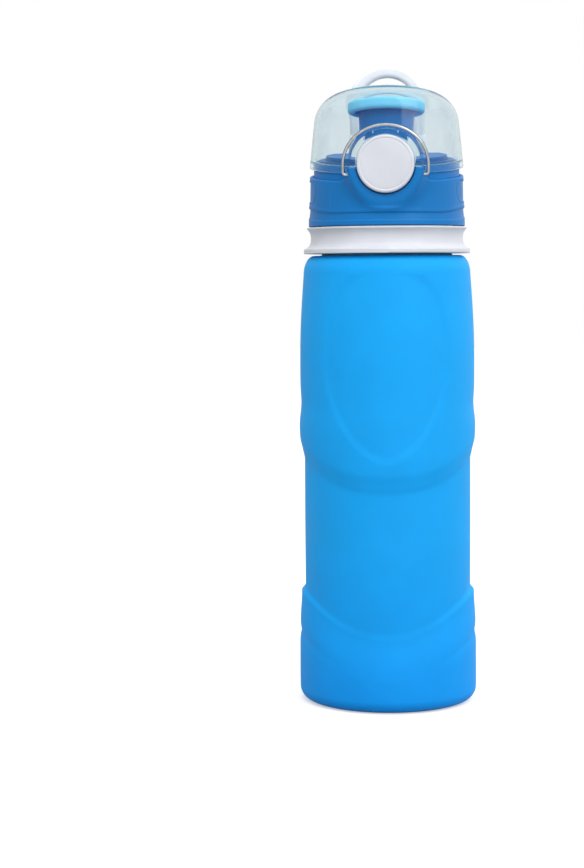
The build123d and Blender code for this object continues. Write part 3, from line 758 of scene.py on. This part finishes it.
def shell_radius(x, y, z):
    """Outer radius of the grip skin: wavy ledge, the band under it, foot and long grip panels."""
    angle = np.abs(np.arctan2(x, -y))
    swell = ramp((angle - 0.7) / 0.8)
    ledge = LEDGE_Z + LEDGE_CLIMB * swell
    foot = FOOT_LINE_Z + FOOT_LINE_CLIMB * ramp((angle - 0.8) / 1.2)
    below = ledge - z
    radius = SHELL_R - 0.019 * (z - 213)
    radius = radius + 0.16 * np.exp(-((below + 0.5) / 0.7) ** 2) * (0.4 + swell)
    radius = radius - 0.34 * ramp(below / 0.5)
    radius = radius + 0.26 * ramp((below - 0.4) / np.maximum(ledge - foot, 0.5))
    radius = radius + (0.24 + 0.06 * swell) * ramp((foot - z) / 0.6 + 0.5)
    along = np.maximum(np.abs(y - GRIP_Y) - (GRIP_HALF - GRIP_R), 0)
    edge = np.sqrt(along ** 2 + (z - GRIP_Z) ** 2) - GRIP_R
    panel = 0.13 * np.exp(-((edge - 0.1) / 0.4) ** 2) - 0.28 * ramp(-edge / 0.6)
    return radius + np.where(np.abs(x) > 20, panel, 0.0)


def shell_field(x, y, z):
    """Distance to the cap shell: grip skin, button boss with its flare, pocket, bail hole and bore."""
    reach = np.sqrt(x ** 2 + y ** 2)
    height = above_seam(y, z)
    skin_top = height + GROOVE_LOW
    body = soft_max(reach - shell_radius(x, y, z), skin_top, 0.7)
    from_button = np.sqrt(x ** 2 + (z - BUTTON_Z) ** 2)
    boss = soft_max(from_button - BOSS_R, y + 20.0, 0.5)
    solid = soft_min(body, boss, 6.5)
    solid = soft_max(solid, BOSS_FACE - y - 2.0 * ramp((209.5 - z) / 3.0), 1.6)
    solid = soft_max(solid, CAP_LOW - z, 0.3)
    solid = soft_max(solid, height + SEAM_GAP, 0.35)
    pocket = np.where(y < -20, POCKET_R - from_button, -50.0)
    solid = soft_max(solid, pocket, 0.5)
    hole = BAIL_HOLE - np.sqrt((y - BAIL_Y) ** 2 + (z - BAIL_Z) ** 2)
    solid = soft_max(solid, hole, 0.15)
    return soft_max(solid, SHELL_BORE - reach, 0.3)


def make_cap_shell():
    step = 0.32
    low, high = (-34.0, -34.2, 200.6), (34.0, 34.2, 226.0)
    verts, faces, normals = solid_of_field(shell_field, low, high, step)
    return build("cap_shell_skin", verts, faces, "cap", "plastic_blue", ["cap_shell"], normals)


# ---------- flip cover ----------
COVER_R, COVER_SLOPE, COVER_T, EDGE_R = 32.4, 5.9, 2.0, 8.0
DOME_R, DOME_Y, DOME_TOP = 170.0, -30.0, 258.9
SKIRT_H, SKIRT_REAR, DECK_FRONT_R = 2.7, 4.0, 30.9
ARCH_R, ARCH_FACE, ARCH_BACK = 15.0, -32.6, -29.3
PIVOT_Y, PIVOT_Z, KNUCKLE_R, PIN_BORE = 36.5, 237.0, 3.7, 1.56
VENT_Y, VENT_STOP, VENT_STOP_R = 19.2, 241.0, 2.2
CATCH_Y, CATCH_Z, CATCH_HALF_W, CATCH_HALF = -28.9, 230.1, 4.0, 0.9
WINDOW_R, WINDOW_HALF, WINDOW_TURN, WINDOW_BACK = 13.75, 0.62, 0.38, -31.7
KNUCKLE_X, KNUCKLE_HALF, LUG_FRONT, POCKET_BACK = 5.45, 1.45, 30.4, -31.2


def cover_form(x, y, z, inset):
    """Distance to the cover's outer form, or to its inside when inset by the wall."""
    slope = radians(COVER_SLOPE)
    wall_r = COVER_R + 10 * sin(slope) - (z - 216.0) * tan(slope)
    cone = (np.sqrt(x ** 2 + y ** 2) - wall_r) * cos(slope) + inset
    dome = np.sqrt(x ** 2 + (y - DOME_Y) ** 2 + (z - DOME_TOP + DOME_R) ** 2) - DOME_R + inset
    return round_max(cone, dome, EDGE_R - inset)


def cover_field(x, y, z):
    """Distance to the clear cover: dome, vent stop, arch with its window, catch, skirt, knuckles."""
    outer, inner = cover_form(x, y, z, 0.0), cover_form(x, y, z, COVER_T)
    height = above_seam(y, z)
    from_button = np.sqrt(x ** 2 + (z - BUTTON_Z) ** 2)
    dome = round_max(outer, -inner, 0.3)
    stop = round_max(np.sqrt(x ** 2 + (y - VENT_Y) ** 2) - VENT_STOP_R, VENT_STOP - z, 0.5)
    dome = soft_min(dome, np.maximum(stop, inner), 1.0)
    dome = round_max(dome, SEAM_GAP - height, 0.35)
    arch = round_max(round_max(from_button - ARCH_R, ARCH_FACE - y, 0.9), y - ARCH_BACK, 0.4)
    arch = np.maximum(arch, SEAM_GAP - height)
    solid = soft_min(dome, arch, 1.6)
    solid = np.maximum(solid, SEAM_GAP - height)
    catch = np.maximum(np.abs(x) - CATCH_HALF_W, np.abs(y - CATCH_Y) - CATCH_HALF)
    catch = np.maximum(catch, np.abs(z - CATCH_Z) - CATCH_HALF)
    solid = np.minimum(solid, catch)
    pocket = round_max(from_button - POCKET_R, y - POCKET_BACK, 0.2)
    solid = round_max(solid, -pocket, 0.35)
    turn = np.abs(np.arctan2(x, z - BUTTON_Z))
    across_window = np.abs(from_button - WINDOW_R) - WINDOW_HALF
    window = round_max(across_window, (turn - WINDOW_TURN) * WINDOW_R, 0.5)
    window = np.maximum(window, y - WINDOW_BACK)
    solid = round_max(solid, -window, 0.25)
    ring = round_max(outer, DECK_FRONT_R + 0.15 - np.sqrt(x ** 2 + y ** 2), 0.35)
    ring = np.maximum(ring, height - 0.7)
    ring = round_max(ring, -SKIRT_H - height, 0.55)
    ring = round_max(ring, BOSS_R + 0.5 - from_button - np.maximum(y, 0) * 9, 0.4)
    ring = round_max(ring, y - SKIRT_REAR, 0.5)
    solid = np.minimum(solid, ring)
    from_pin = np.sqrt((y - PIVOT_Y) ** 2 + (z - PIVOT_Z) ** 2)
    lug = np.maximum(np.maximum(np.abs(z - PIVOT_Z) - KNUCKLE_R, y - PIVOT_Y), LUG_FRONT - y)
    along_pin = np.abs(np.abs(x) - KNUCKLE_X) - KNUCKLE_HALF
    knuckle = round_max(np.minimum(from_pin - KNUCKLE_R, lug), along_pin, 0.4)
    solid = soft_min(solid, np.maximum(knuckle, -inner), 0.8)
    return round_max(solid, np.where(y > 30, PIN_BORE - from_pin, -9.0), 0.1)


def make_cover():
    step = 0.34
    low, high = (-33.4, -33.6, 220.6), (33.4, 41.4, 259.8)
    verts, faces, normals = solid_of_field(cover_field, low, high, step)
    return build("flip_cover_clear", verts, faces, "cover", "clear_plastic", ["flip_cover"], normals)


# ---------- button face ----------
# The face's outline as (radius, y): flat middle, groove, raised rim, side and back.
BUTTON_OUTLINE = [
    (0.0, -35.08), (6.0, -35.08), (9.7, -35.08), (10.0, -35.05), (10.2, -34.97), (10.35, -34.97),
    (10.5, -35.06), (10.7, -35.16), (10.95, -35.18), (11.25, -35.1), (11.5, -34.93), (11.68, -34.68),
    (11.75, -34.35), (11.75, -33.35), (11.65, -33.12), (11.4, -33.04), (6.0, -33.04), (0.0, -33.04),
]


def make_button_face():
    """The push button's outer skin: a flat face, a fine groove and a raised, rounded rim."""
    count = 144
    loops = []
    for r, y in BUTTON_OUTLINE:
        turns = [2 * pi * k / count for k in range(count)] if r else [0.0]
        loops.append([(r * sin(t), y, BUTTON_Z + r * cos(t)) for t in turns])
    verts, faces = skin(loops)
    return build("button_face", verts, faces, "push_button", "plastic_white")


# ---------- springs ----------
def helix(centre, axis, start, radius, length, turns, per_turn=28):
    """Points of a helix about an axis through centre; start is the direction of its first point."""
    axis, start = Vector(axis).normalized(), Vector(start).normalized()
    side = axis.cross(start)
    count = int(turns * per_turn)
    path = []
    for k in range(count + 1):
        turn = 2 * pi * turns * k / count
        middle = Vector(centre) + axis * (length * k / count)
        path.append(middle + start * radius * cos(turn) + side * radius * sin(turn))
    return path


BUTTON_WIRE, VENT_WIRE, HINGE_WIRE = 0.28, 0.3, 0.36
COIL_R, COIL_X, HOOK_X, LEG_DROP = 2.6, 3.2, -5.0, -0.6


def spring(name, path, wire_r, node):
    """A coil that stands for a CAD spring and hides it; it hangs on no body and stays where it is built.
    """
    piece = wire(name, path, wire_r, None, "steel", 10, [node])
    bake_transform(piece)


def make_springs():
    low, high = box_mm("button_spring")
    centre_z = (low.z + high.z) / 2
    centre = Vector((0, low.y + BUTTON_WIRE, centre_z))
    coil_r, length = high.x - BUTTON_WIRE, high.y - low.y - 2 * BUTTON_WIRE
    path = helix(centre, (0, 1, 0), (0, 0, 1), coil_r, length, 6)
    spring("button_spring_wire", path, BUTTON_WIRE, "button_spring")

    low, high = box_mm("vent_spring")
    centre_y = (low.y + high.y) / 2
    centre = Vector((0, centre_y, low.z + VENT_WIRE))
    coil_r, length = high.x - VENT_WIRE, high.z - low.z - 2 * VENT_WIRE
    path = helix(centre, (0, 0, 1), (1, 0, 0), coil_r, length, 5)
    spring("vent_spring_wire", path, VENT_WIRE, "vent_spring")

    pivot = Vector((0, PIVOT_Y, PIVOT_Z))
    coils = helix(pivot - Vector((COIL_X, 0, 0)), (1, 0, 0), (0, 0, 1), COIL_R, 2 * COIL_X, 6.25)
    hook = [pivot + Vector((HOOK_X + 1.6 * k / 4, 0, COIL_R)) for k in range(4)]
    leg = [pivot + Vector((COIL_X, -COIL_R, LEG_DROP - 4.6 * k / 6)) for k in range(7)]
    spring("hinge_spring_wire", hook + coils + leg, HINGE_WIRE, "hinge_spring")


# ---------- build it all ----------
make_flask()
make_roll_band()
make_gasket()
make_vent_seal()
make_spout_seal()
make_cap_shell()
make_cover()
make_button_face()
make_springs()

slot_of = {s["node"]: s["material_slot"] for s in frame["record"]["subparts"]}
for node_name, node in NODES.items():
    paint(node, slot_of[node_name])
for piece in bpy.context.scene.objects:
    if piece.type == "MESH" and "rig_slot" in piece:
        paint(piece, piece["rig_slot"])
# The handle gets the brighter white copy: painted light that stands in for the light it lacks.
paint(NODES["carry_handle"], "plastic_milky_lit")


# ---------- floor, light, camera ----------
FLOOR_HALF = 4


def make_stage():
    """A pale paper floor that looks white from the camera and lights the bottle softly from below."""
    floor_mesh = bpy.data.meshes.new("floor")
    corners = [(x * FLOOR_HALF, y * FLOOR_HALF, 0) for x, y in ((-1, -1), (1, -1), (1, 1), (-1, 1))]
    floor_mesh.from_pydata(corners, [], [(0, 1, 2, 3)])
    floor = bpy.data.objects.new("floor", floor_mesh)
    bpy.context.scene.collection.objects.link(floor)
    m = Nodes("floor_paper")
    grain = m.noise(400, 3)
    path = m.add("ShaderNodeLightPath")
    seen = m.math("MAXIMUM", path.outputs["Is Camera Ray"], path.outputs["Is Transmission Ray"])
    shine = m.math("MULTIPLY", path.outputs["Is Glossy Ray"], 0.4)
    glow = m.math("MAXIMUM", shine, seen)
    paper = m.mix(m.scaled(grain, 0, 1), (0.70, 0.70, 0.70, 1), (0.73, 0.73, 0.73, 1))
    diffuse = m.add("ShaderNodeBsdfPrincipled", {
        "Base Color": m.mix(seen, (0.36, 0.38, 0.40, 1), paper),
        "Roughness": 0.7,
        "Specular IOR Level": 0.1,
        "Emission Color": (1, 1, 1, 1),
        "Emission Strength": m.scaled(glow, 0.0, 0.45, 0.0, 1.0),
    })
    floor_mesh.materials.append(m.finish(diffuse.outputs[0]))


def make_world():
    """White to the eye; as a light it is brighter above and to the right, dimmer low on the left."""
    world = bpy.data.worlds.new("studio")
    bpy.context.scene.world = world
    world.use_nodes = True
    tree = world.node_tree
    tree.nodes.clear()
    output = tree.nodes.new("ShaderNodeOutputWorld")
    place = tree.nodes.new("ShaderNodeTexCoord")
    axes = tree.nodes.new("ShaderNodeSeparateXYZ")
    tree.links.new(place.outputs["Generated"], axes.inputs[0])

    def ranged(value, a, b, low, high):
        node = tree.nodes.new("ShaderNodeMapRange")
        node.interpolation_type = "SMOOTHSTEP"
        tree.links.new(value, node.inputs["Value"])
        for key, number in zip(("From Min", "From Max", "To Min", "To Max"), (a, b, low, high)):
            node.inputs[key].default_value = number
        return node.outputs["Result"]

    def math(operation, a, b):
        node = tree.nodes.new("ShaderNodeMath")
        node.operation = operation
        for socket, value in zip(node.inputs, (a, b)):
            if isinstance(value, float):
                socket.default_value = value
            else:
                tree.links.new(value, socket)
        return node.outputs[0]

    across = ranged(axes.outputs["X"], -1.0, 0.7, 0.53, 0.89)
    upward = ranged(axes.outputs["Z"], -0.2, 0.9, 0.0, 0.30)
    light = tree.nodes.new("ShaderNodeBackground")
    tree.links.new(math("ADD", across, upward), light.inputs["Strength"])
    light.inputs["Color"].default_value = (1, 1, 1, 1)
    seen = tree.nodes.new("ShaderNodeBackground")
    seen.inputs["Color"].default_value = (1, 1, 1, 1)
    seen.inputs["Strength"].default_value = 1.0
    path = tree.nodes.new("ShaderNodeLightPath")
    mix = tree.nodes.new("ShaderNodeMixShader")
    direct = math("MAXIMUM", path.outputs["Is Camera Ray"], path.outputs["Is Transmission Ray"])
    tree.links.new(direct, mix.inputs[0])
    tree.links.new(light.outputs[0], mix.inputs[1])
    tree.links.new(seen.outputs[0], mix.inputs[2])
    tree.links.new(mix.outputs[0], output.inputs["Surface"])


def add_softbox(name, location, target, size, power, mirrored=True):
    """A rectangular lamp aimed at the target; mirrored says if glossy and clear surfaces show it."""
    light = bpy.data.lights.new(name, "AREA")
    light.shape = "RECTANGLE"
    light.size, light.size_y = size
    light.energy = power
    lamp = bpy.data.objects.new(name, light)
    lamp.location = location
    lamp.visible_glossy = mirrored
    lamp.visible_transmission = mirrored
    lamp.rotation_mode = "QUATERNION"
    lamp.rotation_quaternion = (Vector(target) - Vector(location)).to_track_quat("-Z", "Y")
    bpy.context.scene.collection.objects.link(lamp)


def make_camera():
    """In front of the bottle, above its middle, turned so that the bottle stands right of centre."""
    distance, eye_height, focal = 0.85, 0.182, 82.86
    azimuth, down, pan, roll = radians(0.7), radians(4.60), radians(2.741), radians(-0.40)
    camera = bpy.data.cameras.new("camera")
    camera.lens = focal
    camera.sensor_width = 36.0
    holder = bpy.data.objects.new("camera", camera)
    holder.location = (distance * sin(azimuth), -distance * cos(azimuth), eye_height)
    aim = Matrix.Rotation(azimuth + pan, 3, "Z") @ Matrix.Rotation(radians(90) - down, 3, "X")
    holder.rotation_euler = (aim @ Matrix.Rotation(roll, 3, "Z")).to_euler()
    bpy.context.scene.collection.objects.link(holder)
    bpy.context.scene.camera = holder


make_stage()
make_world()
add_softbox("key", location=(0.75, -0.9, 0.95), target=(0, 0, 0.15), size=(0.7, 0.9), power=5.2)
add_softbox("rim", location=(0.6, 0.5, 0.5), target=(0, 0, 0.2), size=(0.3, 0.6), power=1.6,
            mirrored=False)
add_softbox("top", location=(-0.1, -0.36, 0.60), target=(0, 0, 0.25), size=(0.35, 0.25), power=1.1,
            mirrored=False)
make_camera()
bpy.context.scene.view_settings.view_transform = "Standard"
